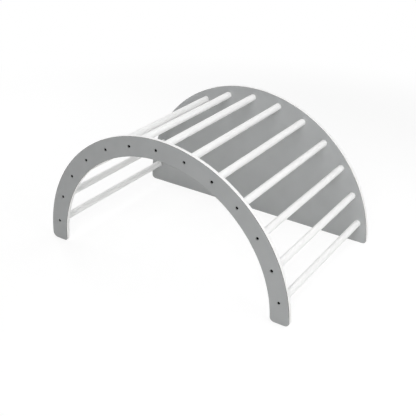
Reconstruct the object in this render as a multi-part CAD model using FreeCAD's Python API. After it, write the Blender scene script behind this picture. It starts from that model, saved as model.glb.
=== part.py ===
import FreeCAD
import Part
import math
import os

# Toddler's climbing arch: two upright side boards joined by a vault of round rungs.
# The front board is an open half ring, so that a child can crawl in under the rungs.
# The back board is a full half disc, which closes the den behind the rungs.
# Each board is a white core between two grey laminate sheets. Its edges are rounded over
# right through the laminates, so they show a white stripe between two thin grey lines.
# A rung's ends stand in shallow sockets in the two boards. A socket head screw, sunk in
# a counterbore in the board's outer side, draws the rung home on an insert in its end.
#
# Millimetres, +Z up, origin on the floor at the middle of the footprint.
# X runs along the arch, -Y is the open front, +Y the closed back.

# Overall form
arch_radius = 500.0  # outer radius of both boards
centre_height = 10.0  # of the arcs' common centre, above the floor
band_width = 71.0  # radial width of the front board's half ring
clear_span = 573.0  # between the inner sides of the two boards

# Side boards
board_thickness = 15.0  # finished, with both laminates
laminate_thickness = 1.2
edge_round = 3.0  # radius of the rounded edges all round a board
foot_outer_corner = 20.0  # corner radii where the outlines meet the floor
foot_inner_corner = 15.0
back_corner = 15.0

# Rungs
rung_count = 13
first_rung_angle = 8.4  # degrees above the level of the centre, at each foot
rung_diameter = 25.0
rung_end_chamfer = 1.0
socket_depth = 6.0  # how far a rung's end enters a board
socket_clearance = 0.2  # radial play between rung and socket

# M6 socket head screws, with the low head
screw_diameter = 6.0
screw_length = 25.0  # under the head
screw_tip_chamfer = 0.8
head_diameter = 10.0
head_height = 4.0
head_chamfer = 0.5
hex_key = 4.0  # across flats
hex_depth = 2.5
head_sink = 1.0  # the head's top lies this far inside the board
counterbore_clearance = 0.5  # radial, round the head
screw_clearance = 0.3  # radial, in the board and in the rung's pilot hole

# Threaded inserts in the rungs' ends
insert_diameter = 10.0
insert_length = 18.0
collar_diameter = 13.0
collar_height = 1.5
thread_clearance = 0.05  # radial, screw to insert and insert to rung
pilot_margin = 3.0  # depth of the rung's pilot hole beyond the screw's tip

# Sizes that follow
overall_depth = clear_span + 2 * board_thickness
inner_radius = arch_radius - band_width
rung_circle = arch_radius - band_width / 2
rung_pitch = (180 - 2 * first_rung_angle) / (rung_count - 1)
rung_radius = rung_diameter / 2
rung_length = clear_span + 2 * socket_depth
counterbore_depth = head_height + head_sink
web = board_thickness - socket_depth - counterbore_depth  # left between screw head and rung
pilot_depth = screw_length - web + pilot_margin

front, back = -1, 1  # which way a board's outer side faces along Y
cut_overrun = 1.0  # how far a cutting tool starts outside the material


def depth_y(side, depth):
    """Y of a point that lies this deep inside a board, from its outer side."""
    return side * (overall_depth / 2 - depth)


def rod(radius, y_start, y_end, x=0.0, z=0.0):
    """Round bar along Y between two Y values, at x and z."""
    base = FreeCAD.Vector(x, min(y_start, y_end), z)
    return Part.makeCylinder(radius, abs(y_end - y_start), base, FreeCAD.Vector(0, 1, 0))


def turned(outline):
    """Solid of revolution about the Y axis, from its (radius, y) corners."""
    points = [FreeCAD.Vector(radius, y, 0) for radius, y in outline]
    half_section = Part.Face(Part.makePolygon(points + points[:1]))
    return half_section.revolve(FreeCAD.Vector(0, 0, 0), FreeCAD.Vector(0, 1, 0), 360)


def arc(centre_x, centre_z, radius, start, end):
    """Arc in the XZ plane, between two angles in radians from +X towards +Z."""
    points = []
    for angle in (start, (start + end) / 2, end):
        x = centre_x + radius * math.cos(angle)
        z = centre_z + radius * math.sin(angle)
        points.append(FreeCAD.Vector(x, 0, z))
    return Part.Arc(*points).toShape()


def floor_line(x_start, x_end):
    start, end = FreeCAD.Vector(x_start, 0, 0), FreeCAD.Vector(x_end, 0, 0)
    return Part.LineSegment(start, end).toShape()


def outer_run(corner):
    """Outer edge of a board over the arch, from the right foot to the left.

    Each corner arc touches the floor and, from inside, the arch. So its centre lies
    one corner radius above the floor and one corner radius short of the arch.
    """
    reach = arch_radius - corner
    rise = corner - centre_height
    centre_x = math.sqrt(reach**2 - rise**2)
    turn = math.asin(rise / reach)
    edges = [
        arc(centre_x, corner, corner, -math.pi / 2, turn),
        arc(0, centre_height, arch_radius, turn, math.pi - turn),
        arc(-centre_x, corner, corner, math.pi - turn, 1.5 * math.pi),
    ]
    return edges, centre_x


def inner_run(corner):
    """Edge of the half ring's opening, from the left foot over the arch to the right.

    Here the corner arcs touch the opening's arch from outside, in the band.
    """
    reach = inner_radius + corner
    rise = corner - centre_height
    centre_x = math.sqrt(reach**2 - rise**2)
    turn = math.asin(rise / reach)
    edges = [
        arc(-centre_x, corner, corner, 1.5 * math.pi, 2 * math.pi - turn),
        arc(0, centre_height, inner_radius, math.pi - turn, turn),
        arc(centre_x, corner, corner, math.pi + turn, 1.5 * math.pi),
    ]
    return edges, centre_x


def half_ring():
    """Outline face of the front board, in the plane y = 0."""
    outer, outer_x = outer_run(foot_outer_corner)
    inner, inner_x = inner_run(foot_inner_corner)
    left_foot, right_foot = floor_line(-outer_x, -inner_x), floor_line(inner_x, outer_x)
    return Part.Face(Part.Wire(outer + [left_foot] + inner + [right_foot]))


def half_disc():
    """Outline face of the back board, in the plane y = 0."""
    outer, outer_x = outer_run(back_corner)
    return Part.Face(Part.Wire(outer + [floor_line(-outer_x, outer_x)]))


def sheet(outline, side, outer_depth, inner_depth):
    """Flat sheet with a board's outline, between two depths inside the board."""
    y_values = depth_y(side, outer_depth), depth_y(side, inner_depth)
    face = outline()
    face.translate(FreeCAD.Vector(0, min(y_values), 0))
    return face.extrude(FreeCAD.Vector(0, max(y_values) - min(y_values), 0))


def rounded_over(board):
    """The board with both rims of its outline rounded over."""
    rims = [edge for edge in board.Edges if edge.BoundBox.YLength < board_thickness / 2]
    return board.makeFillet(edge_round, rims)


def rung_centres():
    """(x, z) of each rung, from the left foot over the crown to the right foot."""
    centres = []
    for index in range(rung_count):
        angle = math.radians(180 - first_rung_angle - index * rung_pitch)
        z = centre_height + rung_circle * math.sin(angle)
        centres.append((rung_circle * math.cos(angle), z))
    return centres


def joint_cuts(side):
    """Counterbore, screw hole and rung socket of every joint in one board."""
    outside = depth_y(side, -cut_overrun)
    seat = depth_y(side, counterbore_depth)
    socket_floor = depth_y(side, counterbore_depth + web)
    inside = depth_y(side, board_thickness + cut_overrun)
    cuts = []
    for x, z in rung_centres():
        cuts.append(rod(head_diameter / 2 + counterbore_clearance, outside, seat, x, z))
        cuts.append(rod(screw_diameter / 2 + screw_clearance, outside, inside, x, z))
        cuts.append(rod(rung_radius + socket_clearance, socket_floor, inside, x, z))
    return cuts


def board_pieces(outline, side):
    """Outer laminate, core and inner laminate of one side board."""
    whole = rounded_over(sheet(outline, side, 0, board_thickness)).cut(joint_cuts(side))
    depths = (0, laminate_thickness, board_thickness - laminate_thickness, board_thickness)
    layers = []
    for outer_depth, inner_depth in zip(depths, depths[1:]):
        layers.append(whole.common(sheet(outline, side, outer_depth, inner_depth)))
    return layers


def rung():
    """One rung on the Y axis: a round bar with eased ends, bored for its inserts."""
    half = rung_length / 2
    eased = rung_radius - rung_end_chamfer
    bar = turned([
        (0, -half),
        (eased, -half),
        (rung_radius, -half + rung_end_chamfer),
        (rung_radius, half - rung_end_chamfer),
        (eased, half),
        (0, half),
    ])
    bores = []
    for end in (front, back):
        for diameter, depth, clearance in (
            (insert_diameter, insert_length, thread_clearance),
            (collar_diameter, collar_height, thread_clearance),
            (screw_diameter, pilot_depth, screw_clearance),
        ):
            start, bottom = end * (half + cut_overrun), end * (half - depth)
            bores.append(rod(diameter / 2 + clearance, start, bottom))
    return bar.cut(bores)


def threaded_insert(side):
    """Collared sleeve let into one end of a rung, on the Y axis."""
    mouth = side * rung_length / 2
    bottom = mouth - side * insert_length
    bore_radius = screw_diameter / 2 + thread_clearance
    return turned([
        (bore_radius, mouth),
        (collar_diameter / 2, mouth),
        (collar_diameter / 2, mouth - side * collar_height),
        (insert_diameter / 2, mouth - side * collar_height),
        (insert_diameter / 2, bottom),
        (bore_radius, bottom),
    ])


def screw(side):
    """Socket head screw on the Y axis, its head seated in one board's counterbore."""
    top = depth_y(side, head_sink)
    seat = depth_y(side, counterbore_depth)
    tip = depth_y(side, counterbore_depth + screw_length)
    head_radius = head_diameter / 2
    shank_radius = screw_diameter / 2
    body = turned([
        (0, top),
        (head_radius - head_chamfer, top),
        (head_radius, top - side * head_chamfer),
        (head_radius, seat),
        (shank_radius, seat),
        (shank_radius, tip + side * screw_tip_chamfer),
        (shank_radius - screw_tip_chamfer, tip),
        (0, tip),
    ])
    corner_radius = hex_key / math.sqrt(3)
    corners = []
    for index in range(7):
        angle = index * math.pi / 3
        x, z = corner_radius * math.cos(angle), corner_radius * math.sin(angle)
        corners.append(FreeCAD.Vector(x, top, z))
    hexagon = Part.Face(Part.makePolygon(corners))
    return body.cut(hexagon.extrude(FreeCAD.Vector(0, -side * hex_depth, 0)))


def at_each_rung(piece):
    """The same piece repeated, as separate solids, on every rung's axis."""
    copies = []
    for x, z in rung_centres():
        copy = piece.copy()
        copy.translate(FreeCAD.Vector(x, 0, z))
        copies.append(copy)
    return copies


def export(name, shape):
    shape.exportStep(os.path.join("parts", name + ".step"))


os.makedirs("parts", exist_ok=True)

for board_name, outline, side in (("front_arch", half_ring, front), ("back_board", half_disc, back)):
    outer, core, inner = board_pieces(outline, side)
    export(board_name + "_outer_laminate", outer)
    export(board_name + "_core", core)
    export(board_name + "_inner_laminate", inner)

for number, bar in enumerate(at_each_rung(rung()), start=1):
    export("rung_%02d" % number, bar)

for side_name, side in (("front", front), ("back", back)):
    export(side_name + "_screws", Part.makeCompound(at_each_rung(screw(side))))
    export(side_name + "_inserts", Part.makeCompound(at_each_rung(threaded_insert(side))))
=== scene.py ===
import math
import bpy
import numpy as np
from mathutils import Matrix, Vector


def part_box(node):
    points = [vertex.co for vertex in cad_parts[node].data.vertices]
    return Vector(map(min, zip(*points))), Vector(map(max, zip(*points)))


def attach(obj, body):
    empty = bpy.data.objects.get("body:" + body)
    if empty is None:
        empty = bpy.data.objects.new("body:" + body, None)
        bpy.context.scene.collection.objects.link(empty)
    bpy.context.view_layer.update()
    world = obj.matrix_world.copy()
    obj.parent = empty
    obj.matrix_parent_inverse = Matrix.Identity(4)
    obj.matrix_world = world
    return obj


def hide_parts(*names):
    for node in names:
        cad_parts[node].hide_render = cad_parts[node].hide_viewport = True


# A toddler's climbing arch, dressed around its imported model. Everything is in metres,
# +Z is up and -Y is the open front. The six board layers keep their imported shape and
# get new materials. Rungs, screws and threaded inserts are drawn again, in finer detail.

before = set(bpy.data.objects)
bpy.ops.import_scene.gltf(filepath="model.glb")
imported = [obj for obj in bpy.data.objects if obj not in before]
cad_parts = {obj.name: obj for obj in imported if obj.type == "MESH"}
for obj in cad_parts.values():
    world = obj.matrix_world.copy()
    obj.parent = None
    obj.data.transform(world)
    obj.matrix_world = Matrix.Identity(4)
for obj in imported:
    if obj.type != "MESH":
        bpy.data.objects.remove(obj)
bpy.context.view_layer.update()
print("frame loaded:", len(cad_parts), "nodes")

mm = 0.001


def toLinear(hexColour):
    # sRGB to linear: level/12.92 up to 0.04045, ((level + 0.055)/1.055)^2.4 above it
    levels = [int(hexColour[start:start + 2], 16) / 255 for start in (1, 3, 5)]
    return [level / 12.92 if level <= 0.04045 else ((level + 0.055) / 1.055) ** 2.4 for level in levels] + [1]


def newMaterial(name):
    # an empty material and its node tree
    material = bpy.data.materials.new(name)
    material.use_nodes = True
    material.node_tree.nodes.clear()
    return material, material.node_tree


def addNode(tree, kind, values=None, links=None, **settings):
    # one node, with its settings, the values typed into its sockets and its wires
    node = tree.nodes.new(kind)
    for name, value in settings.items():
        setattr(node, name, value)
    for socket, value in (values or {}).items():
        node.inputs[socket].default_value = value
    for socket, source in (links or {}).items():
        tree.links.new(source, node.inputs[socket])
    return node


# In the materials below, a noise gives a tone from 0 to 1, which mixes a dark and a light
# colour. A Mix node set to colours has its factor in socket 0, its two colours in sockets
# 6 and 7, and its result in output 2.

# High-pressure laminate: melamine over printed grey paper, pressed on a satin plate.
# It looks even and slightly cool, with a soft sheen, a fine pearl in the surface, a
# faint cloudiness from the paper, and a darker line where the rounded rim cuts through
# to the backing sheets.
greyLaminateLook = {
    "light": "#BABCBD",
    "dark": "#B6B8B9",
    "backing": "#55534F",
    "cloudSize": 60 * mm,
    "cloudEnds": (0.3, 0.7),  # noise levels that give the dark and the light grey
    "pearlSize": 5 * mm,  # really about 1 mm, drawn coarse enough to show
    "pearlHeight": 0.012 * mm,
    "pearlStrength": 0.5,
    "faceDepth": 0.4 * mm,  # of the grey sheet above its backing
    "smoothest": 0.36,
    "roughest": 0.46,
    "ior": 1.5,
}


def pressedGreyLaminate():
    look = greyLaminateLook
    material, tree = newMaterial("grey_high_pressure_laminate_satin_pressed")
    place = addNode(tree, "ShaderNodeTexCoord").outputs["Object"]
    cloud = addNode(tree, "ShaderNodeTexNoise", {"Scale": 1 / look["cloudSize"], "Detail": 3},
                    {"Vector": place}).outputs[0]
    pearl = addNode(tree, "ShaderNodeTexNoise", {"Scale": 1 / look["pearlSize"], "Detail": 2},
                    {"Vector": place}).outputs[0]
    darkEnd, lightEnd = look["cloudEnds"]
    tone = addNode(tree, "ShaderNodeMapRange", {"From Min": darkEnd, "From Max": lightEnd},
                   {"Value": cloud}).outputs[0]
    paper = addNode(tree, "ShaderNodeMix", {6: toLinear(look["dark"]), 7: toLinear(look["light"])},
                    {0: tone}, data_type="RGBA").outputs[2]
    # depth under the nearer face of the board: the less of outer - |y| and |y| - inner
    innerFace, outerFace = [corner.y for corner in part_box("back_board_core")]
    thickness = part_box("back_board_outer_laminate")[1].y - outerFace
    across = addNode(tree, "ShaderNodeSeparateXYZ", links={0: place}).outputs["Y"]
    fromMiddle = addNode(tree, "ShaderNodeMath", links={0: across}, operation="ABSOLUTE").outputs[0]
    underOuter = addNode(tree, "ShaderNodeMath", {0: outerFace + thickness}, {1: fromMiddle},
                         operation="SUBTRACT").outputs[0]
    underInner = addNode(tree, "ShaderNodeMath", {1: innerFace - thickness}, {0: fromMiddle},
                         operation="SUBTRACT").outputs[0]
    depth = addNode(tree, "ShaderNodeMath", links={0: underOuter, 1: underInner},
                    operation="MINIMUM").outputs[0]
    cutThrough = addNode(tree, "ShaderNodeMath", {1: look["faceDepth"]}, {0: depth},
                         operation="GREATER_THAN").outputs[0]
    colour = addNode(tree, "ShaderNodeMix", {7: toLinear(look["backing"])},
                     {0: cutThrough, 6: paper}, data_type="RGBA").outputs[2]
    roughness = addNode(tree, "ShaderNodeMapRange", {"To Min": look["smoothest"], "To Max": look["roughest"]},
                        {"Value": pearl}).outputs[0]
    bump = addNode(tree, "ShaderNodeBump",
                   {"Strength": look["pearlStrength"], "Distance": look["pearlHeight"]},
                   {"Height": pearl}).outputs[0]
    surface = addNode(tree, "ShaderNodeBsdfPrincipled", {"IOR": look["ior"]},
                      {"Base Color": colour, "Roughness": roughness, "Normal": bump})
    addNode(tree, "ShaderNodeOutputMaterial", links={0: surface.outputs[0]})
    return material


# White furniture lacquer over wood: sprayed, sanded and sprayed again. It looks clean and
# nearly white, with a low satin sheen, a faint orange peel and, under a thin coat, the
# wood's fibres just telegraphing through. The fibres are drawn coarse enough to show.
boardEdgeLook = {
    "name": "white_lacquered_board_edge_sprayed",
    "light": "#F9F9F9",
    "dark": "#F6F6F5",
    "fibreSize": (9 * mm, 9 * mm, 9 * mm),  # fibre clumps, really finer, with no direction
    "fibreEnds": (0.3, 0.6),  # noise levels that give the dark and the light white
    "peelSize": 3 * mm,
    "peelHeight": 0.02 * mm,
    "peelStrength": 0.5,
    "smoothest": 0.38,
    "roughest": 0.48,
    "ior": 1.5,
}
rungLook = {
    "name": "white_lacquered_beech_turned",
    "light": "#FAFAFA",
    "dark": "#F8F8F7",
    "fibreSize": (2.5 * mm, 90 * mm, 2.5 * mm),  # along the rung, really finer and shorter
    "fibreEnds": (0.3, 0.6),
    "peelSize": 4 * mm,
    "peelHeight": 0.003 * mm,
    "peelStrength": 0.5,
    "smoothest": 0.33,
    "roughest": 0.38,
    "ior": 1.5,
}


def sprayedLacquer(look):
    material, tree = newMaterial(look["name"])
    place = addNode(tree, "ShaderNodeTexCoord").outputs["Object"]
    along = addNode(tree, "ShaderNodeMapping", {"Scale": [1 / size for size in look["fibreSize"]]},
                    {"Vector": place}).outputs[0]
    fibre = addNode(tree, "ShaderNodeTexNoise", {"Scale": 1, "Detail": 4, "Roughness": 0.6},
                    {"Vector": along}).outputs[0]
    peel = addNode(tree, "ShaderNodeTexNoise", {"Scale": 1 / look["peelSize"], "Detail": 1},
                   {"Vector": place}).outputs[0]
    darkEnd, lightEnd = look["fibreEnds"]
    tone = addNode(tree, "ShaderNodeMapRange", {"From Min": darkEnd, "From Max": lightEnd},
                   {"Value": fibre}).outputs[0]
    colour = addNode(tree, "ShaderNodeMix", {6: toLinear(look["dark"]), 7: toLinear(look["light"])},
                     {0: tone}, data_type="RGBA").outputs[2]
    roughness = addNode(tree, "ShaderNodeMapRange", {"To Min": look["smoothest"], "To Max": look["roughest"]},
                        {"Value": fibre}).outputs[0]
    relief = addNode(tree, "ShaderNodeMath", links={0: peel, 1: fibre}, operation="ADD").outputs[0]
    bump = addNode(tree, "ShaderNodeBump",
                   {"Strength": look["peelStrength"], "Distance": look["peelHeight"]},
                   {"Height": relief}).outputs[0]
    surface = addNode(tree, "ShaderNodeBsdfPrincipled", {"IOR": look["ior"]},
                      {"Base Color": colour, "Roughness": roughness, "Normal": bump})
    addNode(tree, "ShaderNodeOutputMaterial", links={0: surface.outputs[0]})
    return material


# Black oxide on machined alloy steel: a thin porous skin, which looks black and nearly
# matt, a touch lighter where it is rubbed. Bright zinc plate on turned mild steel: a pale
# blueish metal with cloudy patches.
blackOxideLook = {
    "name": "black_oxide_alloy_steel_machined",
    "light": "#060607",
    "dark": "#020202",
    "patchSize": 2 * mm,
    "patchEnds": (0.35, 0.7),  # noise levels that give the dark and the light colour
    "smoothest": 0.5,
    "roughest": 0.65,
    "metallic": 0.0,  # the skin is an oxide, not bare metal
    "specular": 0.1,  # the oxide's pores swallow most of the shine
}
zincLook = {
    "name": "zinc_plated_steel_turned",
    "light": "#C9CCD0",
    "dark": "#A9ADB3",
    "patchSize": 3 * mm,
    "patchEnds": (0.35, 0.7),
    "smoothest": 0.28,
    "roughest": 0.42,
    "metallic": 1.0,
    "specular": 0.5,
}


def finishedSteel(look):
    material, tree = newMaterial(look["name"])
    place = addNode(tree, "ShaderNodeTexCoord").outputs["Object"]
    patch = addNode(tree, "ShaderNodeTexNoise", {"Scale": 1 / look["patchSize"], "Detail": 3},
                    {"Vector": place}).outputs[0]
    darkEnd, lightEnd = look["patchEnds"]
    tone = addNode(tree, "ShaderNodeMapRange", {"From Min": darkEnd, "From Max": lightEnd},
                   {"Value": patch}).outputs[0]
    colour = addNode(tree, "ShaderNodeMix", {6: toLinear(look["dark"]), 7: toLinear(look["light"])},
                     {0: tone}, data_type="RGBA").outputs[2]
    roughness = addNode(tree, "ShaderNodeMapRange", {"To Min": look["smoothest"], "To Max": look["roughest"]},
                        {"Value": patch}).outputs[0]
    surface = addNode(tree, "ShaderNodeBsdfPrincipled",
                      {"Metallic": look["metallic"], "Specular IOR Level": look["specular"]},
                      {"Base Color": colour, "Roughness": roughness})
    addNode(tree, "ShaderNodeOutputMaterial", links={0: surface.outputs[0]})
    return material


greyLaminate = pressedGreyLaminate()
whiteEdge = sprayedLacquer(boardEdgeLook)
whiteRung = sprayedLacquer(rungLook)
blackSteel = finishedSteel(blackOxideLook)
zincSteel = finishedSteel(zincLook)
for boardName in ("front_arch", "back_board"):
    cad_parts[boardName + "_core"].material_slots[0].material = whiteEdge
    for layerName in ("_outer_laminate", "_inner_laminate"):
        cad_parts[boardName + layerName].material_slots[0].material = greyLaminate
print("boards dressed in laminate and lacquer")


def anglesRound(columns):
    # evenly spaced angles of one turn: 2 pi times column number over columns
    return np.arange(columns) * 2 * math.pi / columns


def profileRows(corners, columns):
    # rows of radii, and their y, from (radius, y) corners whose radius may vary round a row
    radii = np.array([np.broadcast_to(radius, columns) for radius, length in corners])
    return radii, np.array([length for radius, length in corners])


def turnedSurface(radii, lengths, closed=False):
    # Surface of revolution about Y: x = r cos a, y = l, z = r sin a, on a grid of rows
    # along the profile and columns round it. The radius may vary round each row too.
    # An open profile is closed by a pole at each end, a closed one joins its last row
    # to its first. Returns the points, quads and triangles, which face outwards.
    rows, columns = radii.shape
    angle = anglesRound(columns)
    along = lengths[:, None] * np.ones(columns)
    points = np.stack([radii * np.cos(angle), along, radii * np.sin(angle)], axis=-1).reshape(-1, 3)
    here = np.arange(rows * columns).reshape(rows, columns)
    beside = np.roll(here, -1, axis=1)
    if closed:
        ahead, aheadBeside = np.roll(here, -1, axis=0), np.roll(beside, -1, axis=0)
        quads = np.stack([here, ahead, aheadBeside, beside], axis=-1).reshape(-1, 4)
        return points, quads, np.empty((0, 3), int)
    quads = np.stack([here[:-1], here[1:], beside[1:], beside[:-1]], axis=-1).reshape(-1, 4)
    poles = [[0, lengths[0], 0], [0, lengths[-1], 0]]
    firstPole, lastPole = np.full(columns, len(points)), np.full(columns, len(points) + 1)
    startFan = np.stack([firstPole, here[0], beside[0]], axis=-1)
    endFan = np.stack([lastPole, beside[-1], here[-1]], axis=-1)
    return np.vstack([points, poles]), quads, np.vstack([startFan, endFan])


creaseAngle = math.radians(35)  # sharper bends than this stay crisp


def buildPiece(name, surface, places, material, nodeName):
    # one mesh object with the surface repeated at each of the places, as whole arrays:
    # the points plus each place, and the faces plus each copy's first point number
    points, quads, triangles = surface
    firstPoints = (np.arange(len(places)) * len(points))[:, None, None]
    everyPoint = (np.array(places)[:, None] + points).reshape(-1, 3)
    everyQuad = (firstPoints + quads).reshape(-1, 4)
    everyTriangle = (firstPoints + triangles).reshape(-1, 3)
    mesh = bpy.data.meshes.new(name)
    mesh.from_pydata(everyPoint.tolist(), [], everyQuad.tolist() + everyTriangle.tolist())
    mesh.shade_smooth()
    mesh.set_sharp_from_angle(angle=creaseAngle)
    mesh.materials.append(material)
    piece = bpy.data.objects.new(name, mesh)
    bpy.context.scene.collection.objects.link(piece)
    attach(piece, "root")
    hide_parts(nodeName)


# A rung: turned bar with rounded ends, counterbored for an insert's collar, bored for
# its sleeve, and drilled deeper for the screw.
rungShape = {
    "endRound": 1.2 * mm,
    "roundSteps": 6,
    "columns": 56,
    "collarPocket": (6.55 * mm, 1.5 * mm),  # radius and depth
    "sleevePocket": (5.05 * mm, 18 * mm),
    "pilotHole": (3.3 * mm, 24 * mm),
    "barrelRows": 40,
}


def rungSurface(radius, halfLength):
    # (radius, y) from the bottom of the hole at -Y, out round the mouth and the barrel,
    # and back in at +Y: the second half is the first one reversed, with y negated. The
    # rounded end is an arc: endRound times (cos t, sin t), from t = -90 to 0 degrees.
    shape = rungShape
    collarRadius, collarDepth = shape["collarPocket"]
    sleeveRadius, sleeveDepth = shape["sleevePocket"]
    pilotRadius, pilotDepth = shape["pilotHole"]
    turn = np.radians(np.linspace(270, 360, shape["roundSteps"]))
    across, along = shape["endRound"] * np.cos(turn), shape["endRound"] * np.sin(turn)
    holeRadii = [pilotRadius, pilotRadius, sleeveRadius, sleeveRadius, collarRadius, collarRadius]
    holeDepths = [pilotDepth, sleeveDepth, sleeveDepth, collarDepth, collarDepth, 0]
    radii = np.concatenate([holeRadii, across + radius - shape["endRound"]])
    depths = np.concatenate([holeDepths, along + shape["endRound"]])
    barrel = np.linspace(depths[-1] - halfLength, halfLength - depths[-1], shape["barrelRows"])[1:-1]
    radii = np.concatenate([radii, np.full(len(barrel), radius), radii[::-1]])
    lengths = np.concatenate([depths - halfLength, barrel, halfLength - depths[::-1]])
    return turnedSurface(radii[:, None] * np.ones(shape["columns"]), lengths)


rungNames = sorted(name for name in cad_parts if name.startswith("rung_"))
rungCentres = []
for name in rungNames:
    low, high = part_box(name)
    centre = ((low.x + high.x) / 2, 0, (low.z + high.z) / 2)
    rungCentres.append(centre)
    surface = rungSurface((high.x - low.x) / 2, (high.y - low.y) / 2)
    buildPiece(name + "_turned", surface, [centre], whiteRung, name)
rungCentres = np.array(rungCentres)
print("rungs turned:", len(rungCentres))

threadFlat = 0.25  # how far a thread's flanks are stretched past its root and its crest


def trapezoidThread(lengths, angle, pitch):
    # height from 0 at the root to 1 at the crest of a right-hand thread along Y: a
    # triangle wave of (y/pitch + angle/turn), stretched and cut flat at both ends
    phase = (lengths / pitch + angle / (2 * math.pi)) % 1
    wave = 1 - np.abs(2 * phase - 1)
    return np.clip((1 + 2 * threadFlat) * wave - threadFlat, 0, 1)


# M6 socket head screw, 25 mm, with the low head: knurled, with a hexagon socket, and
# threaded nearly up to the head.
screwShape = {
    "columns": 40,
    "shankRadius": 3 * mm,
    "headHeight": 4 * mm,
    "headEdge": 0.5 * mm,
    "knurls": 20,
    "knurlDepth": 0.25 * mm,
    "socketAcross": 4 * mm,
    "socketDepth": 2.5 * mm,
    "socketEdge": 0.25 * mm,
    "neck": 1.2 * mm,  # from the head to the thread
    "pitch": 1 * mm,
    "rowsPerPitch": 4,
    "threadDepth": 0.55 * mm,
    "tipBevel": 0.8 * mm,
}


def screwSurface(headRadius, length):
    # along y from the head's top at 0: socket floor, up the socket's six walls, over the
    # head, down its knurled side, in under it and along the threaded shank to the tip
    shape = screwShape
    angle = anglesRound(shape["columns"])
    # six flat walls: half the width across flats, over the cosine from the nearest flat
    socket = shape["socketAcross"] / 2 / np.cos((angle % (math.pi / 3)) - math.pi / 6)
    # knurls: a triangle wave round the head, cut in from its radius
    knurl = 1 - np.abs(2 * ((angle * shape["knurls"] / (2 * math.pi)) % 1) - 1)
    knurled = headRadius - shape["knurlDepth"] * knurl
    rim = headRadius - shape["knurlDepth"]
    shank, height, edge = shape["shankRadius"], shape["headHeight"], shape["headEdge"]
    halfway, knurlStart = edge / 3, edge * 1.2  # in the rounding of the edge, and past it
    head = [
        (socket, shape["socketDepth"]),
        (socket, shape["socketEdge"]),
        (socket + shape["socketEdge"], 0),
        (rim - edge, 0),
        (rim - halfway, halfway),
        (rim, edge),
        (knurled, knurlStart),
        (knurled, height - knurlStart),
        (rim, height - edge),
        (rim - halfway, height),
        (shank + edge, height),
        (shank, height + edge),
    ]
    headRadii, headLengths = profileRows(head, shape["columns"])
    start, end = height + shape["neck"], length
    steps = round((end - start) / shape["pitch"] * shape["rowsPerPitch"])
    along = np.linspace(start, end, steps + 1)
    # the thread rises out of the neck and sinks into the bevelled tip
    bevel = np.minimum(shank, shank - shape["tipBevel"] + (end - along[:, None]))
    thread = shank - shape["threadDepth"] + shape["threadDepth"] * trapezoidThread(
        along[:, None], angle, shape["pitch"])
    radii = np.vstack([headRadii, np.minimum(thread, bevel)])
    return turnedSurface(radii, np.concatenate([headLengths, along]))


# Threaded insert: collared sleeve with a coarse outer thread that bites in the beech,
# and the screw's own thread, with a little play, inside.
insertShape = {
    "columns": 32,
    "sleeveRadius": 5 * mm,
    "collarRadius": 6.5 * mm,
    "collarHeight": 1.5 * mm,
    "collarEdge": 0.3 * mm,
    "outerPitch": 3 * mm,
    "outerThreadDepth": 0.7 * mm,
    "outerRows": 36,
    "outerEnds": (0.3 * mm, 0.6 * mm),  # from the collar and from the bottom to the thread
    "play": 0.05 * mm,
    "boreRows": 72,
    "boreEnd": 0.4 * mm,  # from the mouth and from the bottom to the bore's thread
}


def insertSurface(length, mouthDepth):
    # a closed loop along y from the mouth at 0: out over the collar, down the coarse
    # thread to the bottom, and back up the bore, whose thread keeps step with a screw
    # whose top lies mouthDepth before the mouth
    shape = insertShape
    angle = anglesRound(shape["columns"])
    boreRadius = screwShape["shankRadius"] + shape["play"]
    mouth = boreRadius + shape["collarEdge"]
    root = shape["sleeveRadius"] - shape["outerThreadDepth"]
    collar, edge, height = shape["collarRadius"], shape["collarEdge"], shape["collarHeight"]
    head = [(mouth, 0), (collar - edge, 0), (collar, edge), (collar, height), (root, height)]
    foot = [(root, length), (mouth, length)]
    headRadii, headLengths = profileRows(head, shape["columns"])
    footRadii, footLengths = profileRows(foot, shape["columns"])
    top, bottom = shape["outerEnds"]
    outside = np.linspace(height + top, length - bottom, shape["outerRows"])
    outer = shape["sleeveRadius"] - shape["outerThreadDepth"] * (
        1 - trapezoidThread(outside[:, None], angle, shape["outerPitch"]))
    inside = np.linspace(length - shape["boreEnd"], shape["boreEnd"], shape["boreRows"])
    inner = boreRadius - screwShape["threadDepth"] * (
        1 - trapezoidThread(inside[:, None] + mouthDepth, angle, screwShape["pitch"]))
    radii = np.vstack([headRadii, outer, footRadii, inner])
    return turnedSurface(radii, np.concatenate([headLengths, outside, footLengths, inside]), closed=True)


def turnedRound(surface, facing):
    # the surface as it is for facing 1, and turned half round Z for facing -1
    points, quads, triangles = surface
    return points * (facing, facing, 1), quads, triangles


for sideName, facing in (("front", 1), ("back", -1)):
    # both pieces are drawn from their top at 0 along +Y, and turned round at the back
    low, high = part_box(sideName + "_screws")
    screwTop = low.y if facing == 1 else high.y
    headRadius = high.z - rungCentres[:, 2].max()  # the crown's head rises highest
    surface = turnedRound(screwSurface(headRadius, high.y - low.y), facing)
    buildPiece(sideName + "_socket_head_screws", surface, rungCentres + (0, screwTop, 0),
               blackSteel, sideName + "_screws")
    low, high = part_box(sideName + "_inserts")
    mouth = low.y if facing == 1 else high.y
    surface = turnedRound(insertSurface(high.y - low.y, abs(mouth - screwTop)), facing)
    buildPiece(sideName + "_threaded_inserts", surface, rungCentres + (0, mouth, 0),
               zincSteel, sideName + "_inserts")
print("screws and inserts threaded")


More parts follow.
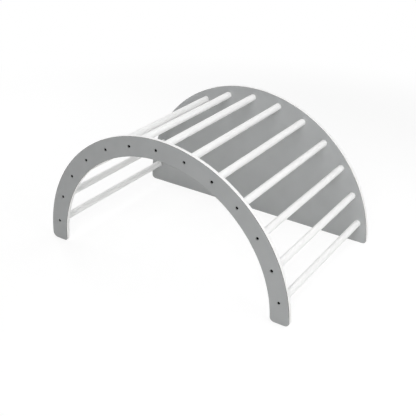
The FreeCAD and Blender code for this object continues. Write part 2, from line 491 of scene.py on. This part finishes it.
def seenDirectly(tree):
    # 1 for what the camera sees straight, mirrored or through something clear, else 0
    path = addNode(tree, "ShaderNodeLightPath").outputs
    direct = addNode(tree, "ShaderNodeMath", links={0: path["Is Camera Ray"], 1: path["Is Glossy Ray"]},
                     operation="MAXIMUM").outputs[0]
    return addNode(tree, "ShaderNodeMath", links={0: direct, 1: path["Is Transmission Ray"]},
                   operation="MAXIMUM").outputs[0]


# A pale studio floor, which the camera sees as white with a faint shadow of the arch.
floorLook = {
    "size": 60.0,
    "bounce": "#F0F0EE",  # what the floor throws back on the arch
    "white": 0.80,  # share of plain white in what the camera sees
    "shade": 0.25,  # share that still takes the shadow
    "shadeEnds": (1.4, 2.4),  # distances over which the shade fades into plain white
}


def studioFloor():
    look = floorLook
    half = look["size"] / 2
    corners = [(-half, -half, 0), (half, -half, 0), (half, half, 0), (-half, half, 0)]
    mesh = bpy.data.meshes.new("studio_floor")
    mesh.from_pydata(corners, [], [(0, 1, 2, 3)])
    material, tree = newMaterial("studio_floor_matt_paper")
    bounce = addNode(tree, "ShaderNodeBsdfDiffuse", {"Color": toLinear(look["bounce"])}).outputs[0]
    shade = addNode(tree, "ShaderNodeBsdfDiffuse", {"Color": [look["shade"]] * 3 + [1]}).outputs[0]
    white = addNode(tree, "ShaderNodeEmission", {"Strength": look["white"]}).outputs[0]
    shadedPaper = addNode(tree, "ShaderNodeAddShader", links={0: shade, 1: white}).outputs[0]
    plainPaper = addNode(tree, "ShaderNodeEmission", {"Strength": 1}).outputs[0]
    place = addNode(tree, "ShaderNodeTexCoord").outputs["Object"]
    away = addNode(tree, "ShaderNodeVectorMath", links={0: place}, operation="LENGTH").outputs["Value"]
    start, end = look["shadeEnds"]
    fade = addNode(tree, "ShaderNodeMapRange", {"From Min": start, "From Max": end}, {"Value": away},
                   interpolation_type="SMOOTHSTEP").outputs[0]
    paper = addNode(tree, "ShaderNodeMixShader", links={0: fade, 1: shadedPaper, 2: plainPaper}).outputs[0]
    surface = addNode(tree, "ShaderNodeMixShader",
                      links={0: seenDirectly(tree), 1: bounce, 2: paper}).outputs[0]
    addNode(tree, "ShaderNodeOutputMaterial", links={0: surface})
    mesh.materials.append(material)
    floor = bpy.data.objects.new("studio_floor", mesh)
    bpy.context.scene.collection.objects.link(floor)


# Soft studio light: five softboxes in front of the arch, above it and on both sides. A
# lamp's level is what a white surface shows that faces it at its aim.
lampSpecs = {
    "front_softbox": {"position": (1.2, -2.4, 2.3), "aim": (0, -0.1, 0.25), "size": 1.6, "level": 0.335},
    "overhead_softbox": {"position": (0.6, 0.6, 2.8), "aim": (0, 0, 0.3), "size": 2.4, "level": 0.39},
    "right_softbox": {"position": (2.4, -0.3, 1.8), "aim": (0, 0, 0.25), "size": 1.6, "level": 0.29},
    "low_right_softbox": {"position": (2.2, -0.2, 0.7), "aim": (0, 0.1, 0.2), "size": 1.0, "level": 0.07},
    "left_softbox": {"position": (-2.2, 0.3, 1.8), "aim": (0, 0, 0.25), "size": 1.6, "level": 0.37},
}


def lampMatrix(position, aim):
    # matrix of a lamp at a position, whose -Z axis points at its aim
    away = np.array(position, float) - np.array(aim, float)
    away /= np.linalg.norm(away)
    side = np.cross((0, 0, 1), away)
    side /= np.linalg.norm(side)
    matrix = np.eye(4)
    matrix[:3, :4] = np.stack([side, np.cross(away, side), away, position], axis=1)
    return Matrix(matrix.tolist())


def studioLamps():
    for name, spec in lampSpecs.items():
        lamp = bpy.data.lights.new(name, "AREA")
        lamp.shape = "SQUARE"
        lamp.size = spec["size"]
        distance = np.linalg.norm(np.array(spec["position"]) - np.array(spec["aim"]))
        # an area lamp of power P gives about P / (pi d^2) on its axis, and a white
        # surface there shows that over pi
        lamp.energy = spec["level"] * math.pi ** 2 * distance ** 2
        holder = bpy.data.objects.new(name, lamp)
        bpy.context.scene.collection.objects.link(holder)
        holder.matrix_world = lampMatrix(spec["position"], spec["aim"])


# An even room, which the camera sees as plain white behind the floor.
roomLook = {
    "level": 0.06,
    "backdrop": 1.0,
}


def studioRoom():
    world = bpy.data.worlds.new("soft_room")
    world.use_nodes = True
    tree = world.node_tree
    tree.nodes.clear()
    white = (1, 1, 1, 1)
    room = addNode(tree, "ShaderNodeBackground", {"Color": white, "Strength": roomLook["level"]}).outputs[0]
    backdrop = addNode(tree, "ShaderNodeBackground",
                       {"Color": white, "Strength": roomLook["backdrop"]}).outputs[0]
    seen = addNode(tree, "ShaderNodeMixShader",
                   links={0: seenDirectly(tree), 1: room, 2: backdrop}).outputs[0]
    addNode(tree, "ShaderNodeOutputWorld", links={0: seen})
    bpy.context.scene.world = world


# The camera stands in front to the right and looks down on the arch.
cameraSpec = {
    "position": (1.33105, -1.94415, 1.4261),
    "heading": 31.52,  # degrees to the left of straight at the front board
    "tilt": 24.33,  # degrees down
    "roll": 1.09,
    "lens": 63.50,
    "sensor": 36,
    "shift": (-0.0856, -0.1367),  # of the view, in widths of the frame
}


def studioCamera():
    spec = cameraSpec
    camera = bpy.data.cameras.new("camera")
    camera.lens = spec["lens"]
    camera.sensor_width = spec["sensor"]
    camera.shift_x, camera.shift_y = spec["shift"]
    holder = bpy.data.objects.new("camera", camera)
    bpy.context.scene.collection.objects.link(holder)
    turn = Matrix.Rotation(math.radians(spec["heading"]), 4, "Z")
    nod = Matrix.Rotation(math.radians(90 - spec["tilt"]), 4, "X")
    roll = Matrix.Rotation(math.radians(spec["roll"]), 4, "Z")
    holder.matrix_world = Matrix.Translation(spec["position"]) @ turn @ nod @ roll
    bpy.context.scene.camera = holder


studioFloor()
studioLamps()
studioRoom()
studioCamera()
bpy.context.scene.view_settings.view_transform = "Standard"
print("studio set")
